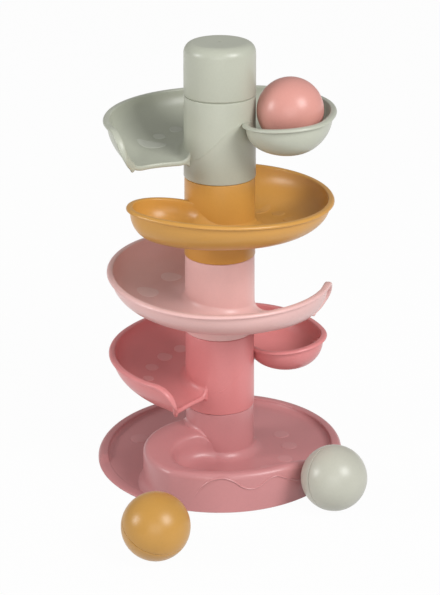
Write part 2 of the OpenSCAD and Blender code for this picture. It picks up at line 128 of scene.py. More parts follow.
class TowerColours(bpy.types.PropertyGroup):
    """Colours of the tower's plastics."""

    mauve: colour("Mauve", "Plastic of the tray", (0.555, 0.238, 0.241))
    coral: colour("Coral", "Plastic of the lowest slide", (0.700, 0.250, 0.250))
    blush: colour("Blush", "Plastic of the second slide", (0.785, 0.495, 0.470))
    mustard: colour("Mustard", "Plastic of the third slide", (0.615, 0.312, 0.068))
    sage: colour("Sage", "Plastic of the top slide and the cap", (0.475, 0.490, 0.405))
    ball_pink: colour("Pink ball", "Plastic of the ball in the top cup", (0.670, 0.310, 0.266))
    ball_mustard: colour("Mustard ball", "Plastic of the ball in front", (0.545, 0.285, 0.063))
    ball_sage: colour("Sage ball", "Plastic of the ball at the side", (0.500, 0.500, 0.425))


class Plan:
    """The tower's sizes in millimetres and degrees, with the values that follow from them."""

    def __init__(self, sizes):
        for field in TowerSizes.__annotations__:
            value = getattr(sizes, field)
            is_angle = sizes.bl_rna.properties[field].unit == "ROTATION"
            setattr(self, field, math.degrees(value) if is_angle else value / MM)
        self.top_r = self.column_r - self.draft
        self.socket_r = self.column_r - self.column_wall
        self.spigot_r = self.socket_r - self.spigot_gap
        self.bore_r = self.spigot_r - self.spigot_wall
        self.root_r = self.top_r
        self.root_depth = self.column_wall / 2
        self.mid_r = (self.root_r + self.trough_r) / 2
        self.half_w = (self.trough_r - self.root_r) / 2
        self.sweeps = [getattr(self, name + "_sweep") for name in SLIDES]
        self.full_turn = max(self.sweeps)
        self.tray_in_r = self.tray_r - self.rim_w
        self.tray_mid_r = (self.root_r + self.tray_in_r) / 2
        self.tray_half_w = (self.tray_in_r - self.root_r) / 2

    def foot_z(self, level):
        return self.post_h + self.pitch * level

    def start_angle(self, level):
        return self.first_start + self.turn_step * level


def ease(x):
    """Smooth step from 0 to 1."""
    t = min(1.0, max(0.0, x))
    return t * t * (3 - 2 * t)


def ramp(x, start, end):
    """Smooth step from 0 at the start to 1 at the end."""
    return ease((x - start) / (end - start))


def mix(a, b, t):
    return a + (b - a) * t


def sin_d(degrees):
    return math.sin(math.radians(degrees))


def cos_d(degrees):
    return math.cos(math.radians(degrees))


def arc(centre, radius, start, end, steps):
    """Points of an arc, both ends included; two radii make it an oval's."""
    wide, tall = radius if isinstance(radius, tuple) else (radius, radius)
    angles = [mix(start, end, i / steps) for i in range(steps + 1)]
    return [(centre[0] + wide * cos_d(a), centre[1] + tall * sin_d(a)) for a in angles]


# Trough, in millimetres and degrees. Counts of points:
BOWL_STEPS = 18
FLAT_STEPS = BOWL_STEPS // 3
BEAD_STEPS = (4, 6, 4)
BEAD_POINTS = sum(BEAD_STEPS) + 3
RUN_RINGS = 150
CORNER_RINGS = 24
CUP_STEPS = 36
CORNER_STEPS = 36
LIP_STEPS = 48
EDGE_RING = 24
# Radii of the rolled rim, and where it fades and sinks before the lip
BEAD_INNER = 1.3
BEAD_OUTER = 2.3
BEAD_UNDER = 1.2
BEAD_FADE = (10, 22)
BEAD_LEAST = 0.1
EDGE_SINK = 0.9
# Start cup, and how the floor and the rim come down along the run
CUP_FADE = 55
CUP_POWER = 2.4
DIP_POWER = 1.4
FALL_POWER = 1.6
RIM_FALL = (15, 140)
# Lip: its hollow edge, thickness, rounded end, the wall left at its corner and its tighter curve
SCOOP_RUN = 45
LIP_LENGTH = 8
LIP_THICKER = 1.0
LIP_ROUND = 1.4
LIP_TILTS = (22, 45, 67, 90)
LIP_WALL = 5.0
LIP_RUN = 60
LIP_CURVE = {"coral": 0.95, "blush": 0.65, "mustard": 0.65, "sage": 0.62}
CORNER_POWER = 2.3
# Rolled rim round the corner and along the lip, with the small hook at the tip
EDGE_LEAD = 12
EDGE_POWER = 2.6
EDGE_PROUD = 0.3
CORNER_BACK = 2.2
TIP_LENGTH = 7
HOOK_FROM = 0.5
HOOK_LENGTH = 1.4
HOOK_OUT = 3.9
LIP_PROUD = 0.4
LIP_BACK = 2.2
LIP_SHARE = 0.9
FILLET_TURN = 85


def cup_share(turn):
    """How much of a channel's section still is that of its round start."""
    return 1 - ease(turn / CUP_FADE)


def bowl_angle(rise, height):
    """Angle on a bowl's curve of that height where it has risen so far."""
    return math.acos(max(-1, min(1, 1 - rise / height)))


def to_column(span, z, fillet, side):
    """Along the flat to the column and round the fillet there: up for side 1, down for side -1."""
    flat = [((span - fillet) * i / FLAT_STEPS, z) for i in range(1, FLAT_STEPS + 1)]
    centre = (span - fillet, z + side * fillet)
    return flat + arc(centre, fillet, -90 * side, 0, BOWL_STEPS - FLAT_STEPS)[1:]


def whole_ring(low_r, top, under, outer, inner):
    """One ring of radius and height from two half sections, from the lowest line outwards and round."""
    outer[:, 0] = low_r + outer[:, 0]
    inner = inner[::-1]
    inner[:, 0] = low_r - inner[:, 0]
    return np.vstack([[(low_r, top)], outer, [(low_r, under)], inner])


def inside_z(section, r):
    """Height of a channel's inside at a radius, from its section."""
    count = len(section) // 2 - 1
    inner = section[:count + 1:-1][:BOWL_STEPS][::-1]
    line = np.vstack([inner, section[:BOWL_STEPS + 1]])
    return float(np.interp(r, line[:, 0], line[:, 1]))


def swung(half, centre_r, back):
    """A half section swung back round the centre of a channel's start, as points in space."""
    return np.column_stack([centre_r + half[:, 0] * cos_d(back), -half[:, 0] * sin_d(back), half[:, 1]])


class Trough:
    """Surface of one spiral trough, in its segment's own frame: foot at zero, start cup along +X."""

    def __init__(self, plan, sweep, tight):
        self.plan = plan
        self.sweep = sweep
        self.tight = tight

    def floor_z(self, turn):
        p = self.plan
        return mix(p.floor_start_z, p.floor_end_z, (max(0, turn) / p.full_turn) ** FALL_POWER)

    def rim_level(self, turn):
        p = self.plan
        return mix(p.rim_start_z, p.rim_end_z, ramp(turn, *RIM_FALL))

    def rim_z(self, turn, left):
        lip = self.floor_z(turn) + LIP_WALL
        share = min(1, max(0, 1 - left / self.plan.corner_turn))
        return mix(lip, self.rim_level(turn), (1 - share ** CORNER_POWER) ** (1 / CORNER_POWER))

    def curve_w(self, turn):
        tight = mix(1, self.tight, ease((turn - self.sweep + LIP_RUN) / LIP_RUN))
        return mix(self.plan.wall_curve * tight, self.plan.half_w, cup_share(turn))

    def wall_at(self, left):
        return self.plan.trough_wall + LIP_THICKER * ease((LIP_LENGTH - left) / LIP_LENGTH)

    def outer_half(self, turn, left, pinch):
        """From the floor's lowest line up the bowl, over the rolled rim and down the outside."""
        p = self.plan
        top = self.floor_z(turn) - pinch
        under = top - self.wall_at(left) + 2 * pinch
        shown = max(BEAD_LEAST, ramp(left, *BEAD_FADE))
        rim = self.rim_z(turn, left) - pinch - EDGE_SINK * (1 - shown)
        width = self.curve_w(turn)
        height = self.rim_level(turn) - BEAD_INNER - top
        reach = bowl_angle(rim - BEAD_INNER - top, height)
        edge = width * math.sin(reach)
        skin = edge + p.trough_wall
        side = skin + p.bead_out * shown
        outer_r = min(BEAD_OUTER, side - edge - BEAD_INNER)
        under_r = min(BEAD_UNDER, p.bead_out * shown / 2)
        low = rim - p.bead_h
        skin_w = skin / math.sin(reach)
        skin_h = (low - under) / (1 - math.cos(reach))
        power = 2 / mix(2, CUP_POWER, cup_share(turn))
        angles = [reach * i / BOWL_STEPS for i in range(1, BOWL_STEPS + 1)]
        curve = [(math.sin(a) ** power, 1 - max(0, math.cos(a)) ** power) for a in angles]
        bowl = [(width * x, top + height * y) for x, y in curve]
        bead = arc((edge + BEAD_INNER, rim - BEAD_INNER), BEAD_INNER, 180, 90, BEAD_STEPS[0])[1:]
        bead += arc((side - outer_r, rim - outer_r), outer_r, 90, 0, BEAD_STEPS[1])
        bead += arc((side - under_r, low + under_r), under_r, 0, -90, BEAD_STEPS[2])
        bead += [(skin + under_r / 3, low)]
        outside = [(skin_w * x, under + skin_h * y) for x, y in reversed(curve)]
        return np.array(bowl + bead + outside)

    def cup_half(self, back):
        """The same half where the start cup turns back to the column: its rim dips."""
        p = self.plan
        dip = p.rim_dip * ((1 - cos_d(back)) / 2) ** DIP_POWER
        share = 1 - dip / (p.rim_start_z - p.floor_start_z)
        half = self.outer_half(0, p.full_turn, 0)
        rise = half[:, 1] - p.floor_start_z
        half[:, 1] = p.floor_start_z + np.where(rise > 0, rise * share, rise)
        return half

    def inner_half(self, turn, left, pinch):
        """From the floor's lowest line to inside the column's wall, and back below."""
        p = self.plan
        top = self.floor_z(turn) - pinch
        under = top - self.wall_at(left) + 2 * pinch
        span = p.trough_r - self.curve_w(turn) - p.root_r
        below = p.floor_fillet / 2
        inside = to_column(span, top, p.floor_fillet, 1)
        wall = [(span + p.root_depth, mix(top + p.floor_fillet, under - below, i / (BEAD_POINTS + 1)))
                for i in range(1, BEAD_POINTS + 1)]
        outside = to_column(span, under, below, -1)
        plain = np.array(inside + wall + outside[::-1])
        cup = self.cup_half(180)
        cup[:, 1] += top - p.floor_start_z
        return mix(plain, cup, cup_share(turn))

    def section(self, turn, left, pinch):
        """One whole ring of radius and height, from the lowest line outwards and round."""
        low_r = self.plan.trough_r - self.curve_w(turn)
        top = self.floor_z(turn) - pinch
        under = top - self.wall_at(left) + 2 * pinch
        outer = self.outer_half(turn, left, pinch)
        return whole_ring(low_r, top, under, outer, self.inner_half(turn, left, pinch))

    def scoop(self, r, left):
        p = self.plan
        across = np.minimum(1, np.abs(r - p.mid_r) / p.half_w)
        return np.degrees(p.lip_scoop / p.mid_r) * (1 - across ** 2) * ease((SCOOP_RUN - left) / SCOOP_RUN)

    def scooped(self, point, start, left):
        """A point of the edge turned as far as the lip's curve asks at its own radius."""
        radii = np.array([math.hypot(start[0], start[1]), math.hypot(point[0], point[1])])
        here, there = np.radians(self.scoop(radii, left))
        return np.array(Matrix.Rotation(here - there, 3, "Z") @ Vector(point))

    def ring(self, turn, left, pinch=0.0, ahead=0.0):
        """The ring's points in space; ahead pushes them along the run, in millimetres."""
        section = self.section(turn, left, pinch)
        r = section[:, 0]
        a = np.radians(turn - self.scoop(r, left)) + ahead / r
        return np.column_stack([r * np.cos(a), r * np.sin(a), section[:, 1]])

    def surface_z(self, turn, r):
        """Height of the inside of the trough."""
        return inside_z(self.section(turn, self.sweep - turn, 0), r)

    def bowl_at(self, turn, left):
        """Width and height of the bowl's curve, and the angle on it where the wall ends."""
        top = self.floor_z(turn)
        height = self.rim_level(turn) - BEAD_INNER - top
        return self.curve_w(turn), height, bowl_angle(self.rim_z(turn, left) - BEAD_INNER - top, height)

    def free_edge(self):
        """The wall's free edge: round its end corner, then along the lip to the column.

        Each station is the turn, the radius and height, the way out of the trough, the share of the
        corner that is past, and the length along the lip.
        """
        p = self.plan
        stations = []
        first = self.sweep - p.corner_turn - EDGE_LEAD
        for i in range(CORNER_STEPS + 1):
            turn = mix(first, self.sweep, sin_d(90 * i / CORNER_STEPS))
            width, height, reach = self.bowl_at(turn, self.sweep - turn)
            r = p.trough_r - width + width * math.sin(reach)
            out = (height * math.sin(reach), -width * math.cos(reach))
            z = self.rim_z(turn, self.sweep - turn)
            stations.append((turn, r, z, out, ease(i / CORNER_STEPS), 0.0))
        top = self.floor_z(self.sweep)
        width, height, reach = self.bowl_at(self.sweep, 0)
        low_r = p.trough_r - width
        fillet = p.floor_fillet
        lip = []
        for i in range(LIP_STEPS // 2 + 1):
            a = LIP_SHARE * reach * (1 - 2 * i / LIP_STEPS)
            out = (height * math.sin(a), -width * math.cos(a))
            lip.append((low_r + width * math.sin(a), top + height * (1 - math.cos(a)), out))
        for i in range(1, LIP_STEPS // 4 + 1):
            lip.append((mix(low_r, p.root_r + fillet, 4 * i / LIP_STEPS), top, (0, -1)))
        for i in range(1, LIP_STEPS // 4 + 1):
            b = FILLET_TURN * 4 * i / LIP_STEPS
            out = (-sin_d(b), -cos_d(b))
            lip.append((p.root_r + fillet * (1 + out[0]), top + fillet * (1 + out[1]), out))
        lip.append((p.root_r - p.root_depth, lip[-1][1], lip[-1][2]))
        run = 0.0
        last = lip[0]
        for here in lip:
            run += math.dist(here[:2], last[:2])
            last = here
            stations.append((self.sweep, *here, 1.0, run))
        return stations

    def rolled_edge(self):
        """Points and faces of the rolled rim where it turns round the wall's end and thins to the lip."""
        p = self.plan
        stations = self.free_edge()
        places, outs = [], []
        for turn, r, z, out, _, _ in stations:
            a = turn - float(self.scoop(np.array(r), self.sweep - turn))
            places.append((r * cos_d(a), r * sin_d(a), z))
            outs.append(np.array((out[0] * cos_d(a), out[0] * sin_d(a), out[1])) / math.hypot(*out))
        ways = np.gradient(np.array(places), axis=0)
        rings = []
        for at, out, way, (turn, *_, ahead, run) in zip(places, outs, ways, stations):
            edge = np.cross(out, way)
            edge /= np.linalg.norm(edge)
            led = (turn - stations[0][0]) / EDGE_LEAD
            proud = mix(-EDGE_PROUD, EDGE_PROUD, ease(led))
            thin = ease(run / TIP_LENGTH)
            hook = math.sqrt(max(0, 1 - (run / HOOK_LENGTH) ** 2))
            stands = mix(p.bead_out, HOOK_OUT, ramp(ahead, HOOK_FROM, 1))
            bead = p.trough_wall + proud + stands
            across = (mix(-proud, -LIP_PROUD, thin), mix(self.wall_at(0) + LIP_PROUD, bead, hook))
            behind = mix(p.bead_h + proud, CORNER_BACK, ahead)
            along = (-mix(behind, LIP_BACK, thin), mix(proud, LIP_ROUND + EDGE_PROUD, ahead))
            for k in range(EDGE_RING):
                c, s = cos_d(360 * k / EDGE_RING), sin_d(360 * k / EDGE_RING)
                n = math.copysign(abs(c) ** (2 / EDGE_POWER), c)
                e = math.copysign(abs(s) ** (2 / EDGE_POWER), s)
                n = mix(across[0], across[1], (n + 1) / 2)
                e = mix(along[0], along[1], (e + 1) / 2)
                rings.append(self.scooped(np.array(at) + out * n + edge * e, at, self.sweep - turn))
        return rings, tube_faces(len(stations), EDGE_RING, closed=True)

    def mesh(self):
        """Points and faces of the whole trough: the run, the round start cup and the closed lip."""
        p = self.plan
        run_end = self.sweep - p.corner_turn
        turns = [run_end * i / RUN_RINGS for i in range(RUN_RINGS + 1)]
        corner = [sin_d(90 * i / CORNER_RINGS) for i in range(1, CORNER_RINGS + 1)]
        turns += [run_end + p.corner_turn * share for share in corner]
        rings = [self.ring(t, self.sweep - t) for t in turns]
        for tilt in LIP_TILTS:
            rings.append(self.ring(self.sweep, 0, LIP_ROUND * (1 - cos_d(tilt)), LIP_ROUND * sin_d(tilt)))
        n = len(rings[0])
        half = n // 2 - 1
        backs = [180 * k / CUP_STEPS for k in range(1, CUP_STEPS)]
        cups = [swung(self.cup_half(back), p.mid_r, back) for back in backs]
        faces = tube_faces(len(rings), n)
        faces += lip_faces((len(rings) - 1) * n, half)
        faces += round_faces(CUP_STEPS, half, len(rings) * n)
        return np.vstack(rings + cups), faces


def tube_faces(rings, n, closed=False):
    """Faces of a tube of rings, with a face at both ends if it is closed."""
    faces = [(k * n + i, k * n + (i + 1) % n, (k + 1) * n + (i + 1) % n, (k + 1) * n + i)
             for k in range(rings - 1) for i in range(n)]
    if closed:
        faces.append(tuple(range(n)))
        faces.append(tuple((rings - 1) * n + i for i in range(n)))
    return faces


def lip_faces(first, half):
    """Faces that close a trough's last ring: strips between its inside and outside, and both edges."""
    def inside(k):
        return first + (k if k >= 0 else 2 * half + 2 + k)

    def outside(k):
        return first + half + 1 - k

    steps = range(-BOWL_STEPS, BOWL_STEPS)
    faces = [(inside(k), inside(k + 1), outside(k + 1), outside(k)) for k in steps]
    faces.append(tuple(first + i for i in range(BOWL_STEPS, half + 2 - BOWL_STEPS)))
    faces.append(tuple(first + half + 1 + i for i in range(BOWL_STEPS, half + 2 - BOWL_STEPS)))
    return faces


def round_faces(steps, half, first):
    """Faces of the round end that joins the outer half of the first ring to its inner half."""
    def at(k, j):
        if k == 0:
            return 1 + j
        return 2 * half + 1 - j if k == steps else first + (k - 1) * half + j

    faces = [(at(k, j), at(k + 1, j), at(k + 1, j + 1), at(k, j + 1))
             for k in range(steps) for j in range(half - 1)]
    faces += [(0, at(k + 1, 0), at(k, 0)) for k in range(steps)]
    faces += [(half + 1, at(k, half - 1), at(k + 1, half - 1)) for k in range(steps)]
    return faces


# Tray, in millimetres and degrees. Counts of points:
PLATE_STEPS = 200
INNER_STEPS = 3
EDGE_STEPS = 7
FLARE_STEPS = 6
SHOULDER_STEPS = 72
COLLAR_STEPS = 60
COLLAR_ARC = 6
# Channel: how far it turns and falls, and how its rim comes down
PLATE_SWEEP = 350
TRAY_SWEEP = 332
TRAY_FALL = 1.2
SLOW_START = 6
FULL_WALL = 28
FRONT_WALL = 35
LOW_RIM = 85
RIM_END = 282
RIM_END_RUN = 6
RIM_LAST_Z = 6
RUNOUT_LIP = 0.3
# Rounded edges of the rim, the small rounding at its foot and the foot inside the post's wall
EDGE_IN = 4.5
EDGE_DROP = 5.5
EDGE_FIT = 0.8
INNER_EDGE = (1.6, 1.2)
FOOT_ROUND = 0.6
ROOT_LOW = 1
# Shoulder: distance and turn of its circle's centre, its edge, its steep wall and its dip at the post
SHOULDER_AT = (51.9, -2.1)
SHOULDER_R = 58.8
POCKET_EDGE = (4.5, 3.5)
STEEP_BACK = (60, 150)
STEEP_POWER = 4.5
DIP_BACK = 150
FLARE_W = 9
FLARE_H = 11
# Fillet between the shoulder and the post
COLLAR = 4
COLLAR_SPAN = (-92, -3)
COLLAR_TAPER = 8
COLLAR_LEAST = 0.05
COLLAR_SUNK = 1
# Hollows of the underside and the ribs between them
HOLLOW_TURN = 30
HOLLOW_COUNT = 5
HOLLOW_LEAST = 1.0
RIB_HALF = 2
RIB_RECESS = 0.4
RIB_STEP = 0.01


class Tray:
    """Surface of the tray's channel and shoulder, turned so that its start pocket lies along +X."""

    def __init__(self, plan):
        self.plan = plan
        self.pocket = np.array([plan.tray_mid_r, 0.0])
        self.swing = SHOULDER_AT[0] * np.array([cos_d(SHOULDER_AT[1]), sin_d(SHOULDER_AT[1])])

    def back_of(self, point):
        return math.degrees(math.atan2(-point[1], point[0] - self.plan.tray_mid_r))

    def floor_z(self, turn):
        p = self.plan
        slow = max(0, turn)
        slow = slow * slow / (slow + SLOW_START)
        return p.runout_z + (p.pocket_z - p.runout_z) * max(0, 1 - slow / TRAY_SWEEP) ** TRAY_FALL

    def rim_z(self, turn):
        p = self.plan
        low = mix(p.rim_low_z, RIM_LAST_Z, max(0, turn - LOW_RIM) / (RIM_END - LOW_RIM))
        high = mix(p.shoulder_h, low, ramp(turn, FRONT_WALL, LOW_RIM))
        return mix(high, self.floor_z(turn) + RUNOUT_LIP, ease((turn - RIM_END) / RIM_END_RUN))

    def curve_w(self, turn):
        p = self.plan
        low = p.wall_curve * min(1, (self.rim_z(turn) - self.floor_z(turn)) / FULL_WALL)
        return mix(low, p.tray_half_w, cup_share(turn))

    def hollow_h(self, turn):
        """Height of the hollow underside; a rib comes down between two hollows."""
        if turn < RIB_HALF:
            return self.floor_z(0) - self.plan.tray_wall
        step = int(turn // HOLLOW_TURN)
        inside = RIB_HALF < turn - step * HOLLOW_TURN < HOLLOW_TURN - RIB_HALF
        if step >= HOLLOW_COUNT or not inside:
            return RIB_RECESS
        return self.floor_z((step + 1) * HOLLOW_TURN) - self.plan.tray_wall

    def outer_half(self, turn, bowl, reach, hollow, flare=0.0, power=2.0,
                   inner=INNER_EDGE, edge_in=EDGE_IN):
        """From the floor's lowest line up the bowl, over the rim, down the side and under the tray."""
        p = self.plan
        floor = self.floor_z(turn)
        rim = self.rim_z(turn)
        hollow_d, hollow_h = hollow
        drop = min(1, (rim - p.runout_z / 2) * EDGE_FIT / EDGE_DROP)
        lip = (min(inner[0], (reach - bowl) / 2), min(inner[1] * drop, (rim - floor) / 2))
        rise = rim - lip[1] - floor
        angles = [90 * i / BOWL_STEPS for i in range(1, BOWL_STEPS + 1)]
        curve = [(sin_d(a) ** (2 / power), 1 - cos_d(a) ** (2 / power)) for a in angles]
        points = [(bowl * x, floor + rise * y) for x, y in curve]
        points += arc((bowl + lip[0], rim - lip[1]), lip, 180, 90, INNER_STEPS)[1:]
        edge = (min(edge_in, (reach - bowl) / 2), EDGE_DROP * drop)
        points += arc((reach - edge[0], rim - edge[1]), edge, 90, 0, EDGE_STEPS)
        tall = min(FLARE_H, points[-1][1] / 2)
        for i in range(FLARE_STEPS + 1):
            a = 90 * i / FLARE_STEPS
            points.append((reach + flare * (1 - cos_d(a)), FOOT_ROUND + tall * (1 - sin_d(a))))
        points += [(reach + flare - FOOT_ROUND, 0), (hollow_d, 0), (hollow_d, hollow_h)]
        return np.array(points)

    def inner_half(self, turn, hollow_h):
        """From the floor's lowest line to inside the post's wall, and back below."""
        p = self.plan
        floor = self.floor_z(turn)
        span = p.tray_in_r - self.curve_w(turn) - p.root_r
        inside = to_column(span, floor, p.floor_fillet, 1)
        count = INNER_STEPS + EDGE_STEPS + 1 + FLARE_STEPS
        root = span + p.root_depth
        wall = [(root, mix(floor + p.floor_fillet, ROOT_LOW, i / count)) for i in range(1, count + 1)]
        low = span - (p.column_r - p.root_r)
        under = [(root, ROOT_LOW), (low, 0), (low - p.tray_wall, 0), (low - p.tray_wall, hollow_h)]
        return np.array(inside + wall + under)

    def section(self, turn):
        p = self.plan
        bowl = self.curve_w(turn)
        low_r = p.tray_in_r - bowl
        hollow_h = self.hollow_h(turn)
        hollow_d = p.tray_mid_r + p.tray_half_w / 2 - low_r
        outer = self.outer_half(turn, bowl, bowl + p.rim_w, (max(HOLLOW_LEAST, hollow_d), hollow_h))
        return whole_ring(low_r, self.floor_z(turn), hollow_h, outer, self.inner_half(turn, hollow_h))

    def dip(self, back):
        """How far the shoulder's top has come down to the floor's fillet beside the post."""
        return max(0, (back - DIP_BACK) / (180 - DIP_BACK)) ** 2

    def circle_hits(self, centre, r, back):
        """Distances from the pocket's centre to a circle, near and far, along the way back."""
        way = np.array([cos_d(back), -sin_d(back)])
        q = self.pocket - centre
        along = q @ way
        spread = math.sqrt(max(0, along * along - q @ q + r * r))
        return -along - spread, -along + spread

    def shoulder_half(self, back):
        """The half section of the shoulder; past the outline's end it stops inside the post's wall."""
        p = self.plan
        tray = self.circle_hits(np.zeros(2), p.tray_r, back)[1]
        reach = min(tray, self.circle_hits(self.swing, SHOULDER_R, back)[1])
        root = p.root_r - p.root_depth
        end = self.pocket + reach * np.array([cos_d(back), -sin_d(back)])
        hidden = np.hypot(*end) < root
        if hidden:
            reach = self.circle_hits(np.zeros(2), root, back)[0]
        hollow_d = mix(p.tray_half_w / 2, p.tray_half_w - p.tray_wall - p.draft, back / 180)
        hollow = (min(hollow_d, reach - p.tray_wall), self.hollow_h(0))
        flare = 0.0 if hidden else FLARE_W * ease((tray - reach) / (2 * FLARE_W))
        steep = ramp(back, *STEEP_BACK)
        inner = [mix(a, b, ease(back / STEEP_BACK[0])) for a, b in zip(INNER_EDGE, POCKET_EDGE)]
        power = mix(2, STEEP_POWER, steep)
        edge_in = 0.0 if hidden else EDGE_IN
        return self.outer_half(0, p.tray_half_w, reach, hollow, flare, power, inner, edge_in)

    def collar(self):
        """Points and faces of the small fillet where the shoulder's top meets the post."""
        p = self.plan
        rings = []
        for i in range(COLLAR_STEPS + 1):
            a = mix(*COLLAR_SPAN, i / COLLAR_STEPS)
            back = self.back_of(p.root_r * np.array([cos_d(a), sin_d(a)]))
            z = mix(p.shoulder_h, p.pocket_z + p.floor_fillet, self.dip(back))
            room = self.circle_hits(np.zeros(2), p.root_r, back)[0] - p.tray_half_w - POCKET_EDGE[0] / 2
            ends = min(i, COLLAR_STEPS - i) / COLLAR_STEPS
            size = max(COLLAR_LEAST, min(COLLAR * ease(COLLAR_TAPER * ends), room))
            r = p.column_r - p.draft * z / p.post_h
            sunk_r, sunk_z = r - COLLAR_SUNK, z - COLLAR_SUNK
            ring = arc((r + size, z + size), size, 180, 270, COLLAR_ARC)
            ring += [(r + size, sunk_z), (sunk_r, sunk_z), (sunk_r, z + size)]
            rings += [(q * cos_d(a), q * sin_d(a), h) for q, h in ring]
        return rings, tube_faces(COLLAR_STEPS + 1, len(ring), closed=True)

    def surface_z(self, turn, r):
        """Height of the inside of the channel."""
        return inside_z(self.section(turn), r)

    def mesh(self):
        """Points and faces of the channel from the start pocket to the run-out, with the shoulder."""
        p = self.plan
        turns = {PLATE_SWEEP * i / PLATE_STEPS for i in range(PLATE_STEPS + 1)}
        for step in range(HOLLOW_COUNT + 1):
            for edge in (RIB_HALF, -RIB_HALF):
                for side in (RIB_STEP, -RIB_STEP):
                    turns.add(max(0, step * HOLLOW_TURN + edge + side))
        rings = []
        for turn in sorted(turns):
            s = self.section(turn)
            rings.append(np.column_stack([s[:, 0] * cos_d(turn), s[:, 0] * sin_d(turn), s[:, 1]]))
        n = len(rings[0])
        half = n // 2 - 1
        inner_end = self.section(0)[:half + 1:-1]
        last = np.column_stack([p.tray_mid_r - inner_end[:, 0], inner_end[:, 1]])
        rounds = []
        for k in range(1, SHOULDER_STEPS):
            back = 180 * k / SHOULDER_STEPS
            rounds.append(swung(mix(self.shoulder_half(back), last, self.dip(back)), p.tray_mid_r, back))
        faces = tube_faces(len(rings), n)
        faces += round_faces(SHOULDER_STEPS, half, len(rings) * n)
        faces.append(tuple((len(rings) - 1) * n + i for i in range(n)))
        return np.vstack(rings + rounds), faces


def activate(obj):
    """Makes one object the only selected one, and the active one."""
    bpy.ops.object.select_all(action="DESELECT")
    obj.select_set(True)
    bpy.context.view_layer.objects.active = obj


def edit_all(obj):
    """Enters an object's edit mode with everything selected."""
    activate(obj)
    bpy.ops.object.mode_set(mode="EDIT")
    bpy.ops.mesh.select_all(action="SELECT")


def close_up(threshold):
    """Merges points that coincide, turns the faces outwards and leaves edit mode."""
    bpy.ops.mesh.select_all(action="SELECT")
    bpy.ops.mesh.remove_doubles(threshold=threshold)
    bpy.ops.mesh.normals_make_consistent(inside=False)
    bpy.ops.object.mode_set(mode="OBJECT")


def named(name):
    """The active object, with a name for it and its mesh."""
    obj = bpy.context.active_object
    obj.name = name
    obj.data.name = name
    return obj


def mesh_object(name, points, faces, matrix=Matrix.Identity(4)):
    """A closed mesh from points in millimetres, put in place."""
    mesh = bpy.data.meshes.new(name)
    placed = [matrix @ (Vector([float(x) for x in p]) * MM) for p in points]
    mesh.from_pydata(placed, [], faces)
    obj = bpy.data.objects.new(name, mesh)
    bpy.context.scene.collection.objects.link(obj)
    edit_all(obj)
    close_up(1e-6)
    return obj


TURNED_SEGMENTS = 128
SMOOTH_ANGLE = 38
BEVEL_SEGMENTS = 2


def turned(name, outline):
    """A round body: a circle extruded and scaled from ring to ring along a closed outline of (r, z)."""
    r, z = outline[0]
    bpy.ops.mesh.primitive_circle_add(vertices=TURNED_SEGMENTS, radius=r * MM, location=(0, 0, z * MM))
    obj = named(name)
    bpy.ops.object.transform_apply()
    edit_all(obj)
    for next_r, next_z in outline[1:] + outline[:1]:
        bpy.ops.mesh.extrude_edges_move(TRANSFORM_OT_translate={"value": (0, 0, (next_z - z) * MM)})
        bpy.ops.transform.resize(value=(next_r / r, next_r / r, 1), center_override=(0, 0, next_z * MM))
        r, z = next_r, next_z
    close_up(2e-6)
    return obj


def box_object(name, size, place, turn):
    """A cube brought to a size in millimetres at a place, then turned about the tower's axis."""
    bpy.ops.mesh.primitive_cube_add(size=1, location=[x * MM for x in place])
    obj = named(name)
    obj.scale = [x * MM for x in size]
    bpy.ops.object.transform_apply()
    obj.rotation_euler = (0, 0, math.radians(turn))
    bpy.ops.object.transform_apply()
    return obj


def soften(obj, width):
    """Rounds all edges of a small block."""
    edit_all(obj)
    bpy.ops.mesh.bevel(offset=width * MM, segments=BEVEL_SEGMENTS)
    bpy.ops.object.mode_set(mode="OBJECT")


def cut_away(obj, tool):
    """Takes the tool's volume out of the object and removes the tool."""
    activate(obj)
    cut = obj.modifiers.new("cut", "BOOLEAN")
    cut.operation = "DIFFERENCE"
    cut.solver = "EXACT"
    cut.object = tool
    bpy.ops.object.modifier_apply(modifier=cut.name)
    bpy.data.objects.remove(tool, do_unlink=True)


def joined(name, pieces):
    """One object of several, at the origin."""
    activate(pieces[0])
    for obj in pieces[1:]:
        obj.select_set(True)
    if len(pieces) > 1:
        bpy.ops.object.join()
    obj = named(name)
    bpy.ops.object.shade_smooth_by_angle(angle=math.radians(SMOOTH_ANGLE))
    return obj


def coated(pieces, material):
    """Gives each piece its material."""
    for obj in pieces:
        obj.data.materials.append(material)
    return pieces


def tied(obj, body, slot, *nodes):
    """Ties a finished piece to its body and hides the solids it stands for; the slot is not used."""
    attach(obj, body)
    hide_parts(*nodes)


# A spot's section: share of its half width, and height over the floor
SPOT_RINGS = ((0.0, 0.3), (0.45, 0.3), (0.85, 0.29), (0.94, 0.24), (0.985, 0.12), (1.0, -0.2))
SPOT_SEGMENTS = 40


def spot(surface, name, matrix, turn, r, along, across=None, bend=0):
    """A thin raised oval on a trough's floor that follows its curve; a bend makes it a bean."""
    n = SPOT_SEGMENTS
    across = along if across is None else across
    points = []
    for share, height in SPOT_RINGS:
        for k in range(n if share else 1):
            a = 360 * k / n
            side = share * sin_d(a)
            here_r = r + across * side
            here = turn + math.degrees((along * share * cos_d(a) + bend * side * side) / here_r)
            points.append((here_r * cos_d(here), here_r * sin_d(here), surface(here, here_r) + height))
    faces = [(0, 1 + k, 1 + (k + 1) % n) for k in range(n)]
    last = 1 + (len(SPOT_RINGS) - 2) * n
    for first in range(1, last, n):
        for k in range(n):
            following = (k + 1) % n
            faces.append((first + k, first + n + k, first + n + following, first + following))
    faces.append(tuple(last + k for k in range(n)))
    return mesh_object(name, points, faces, matrix)


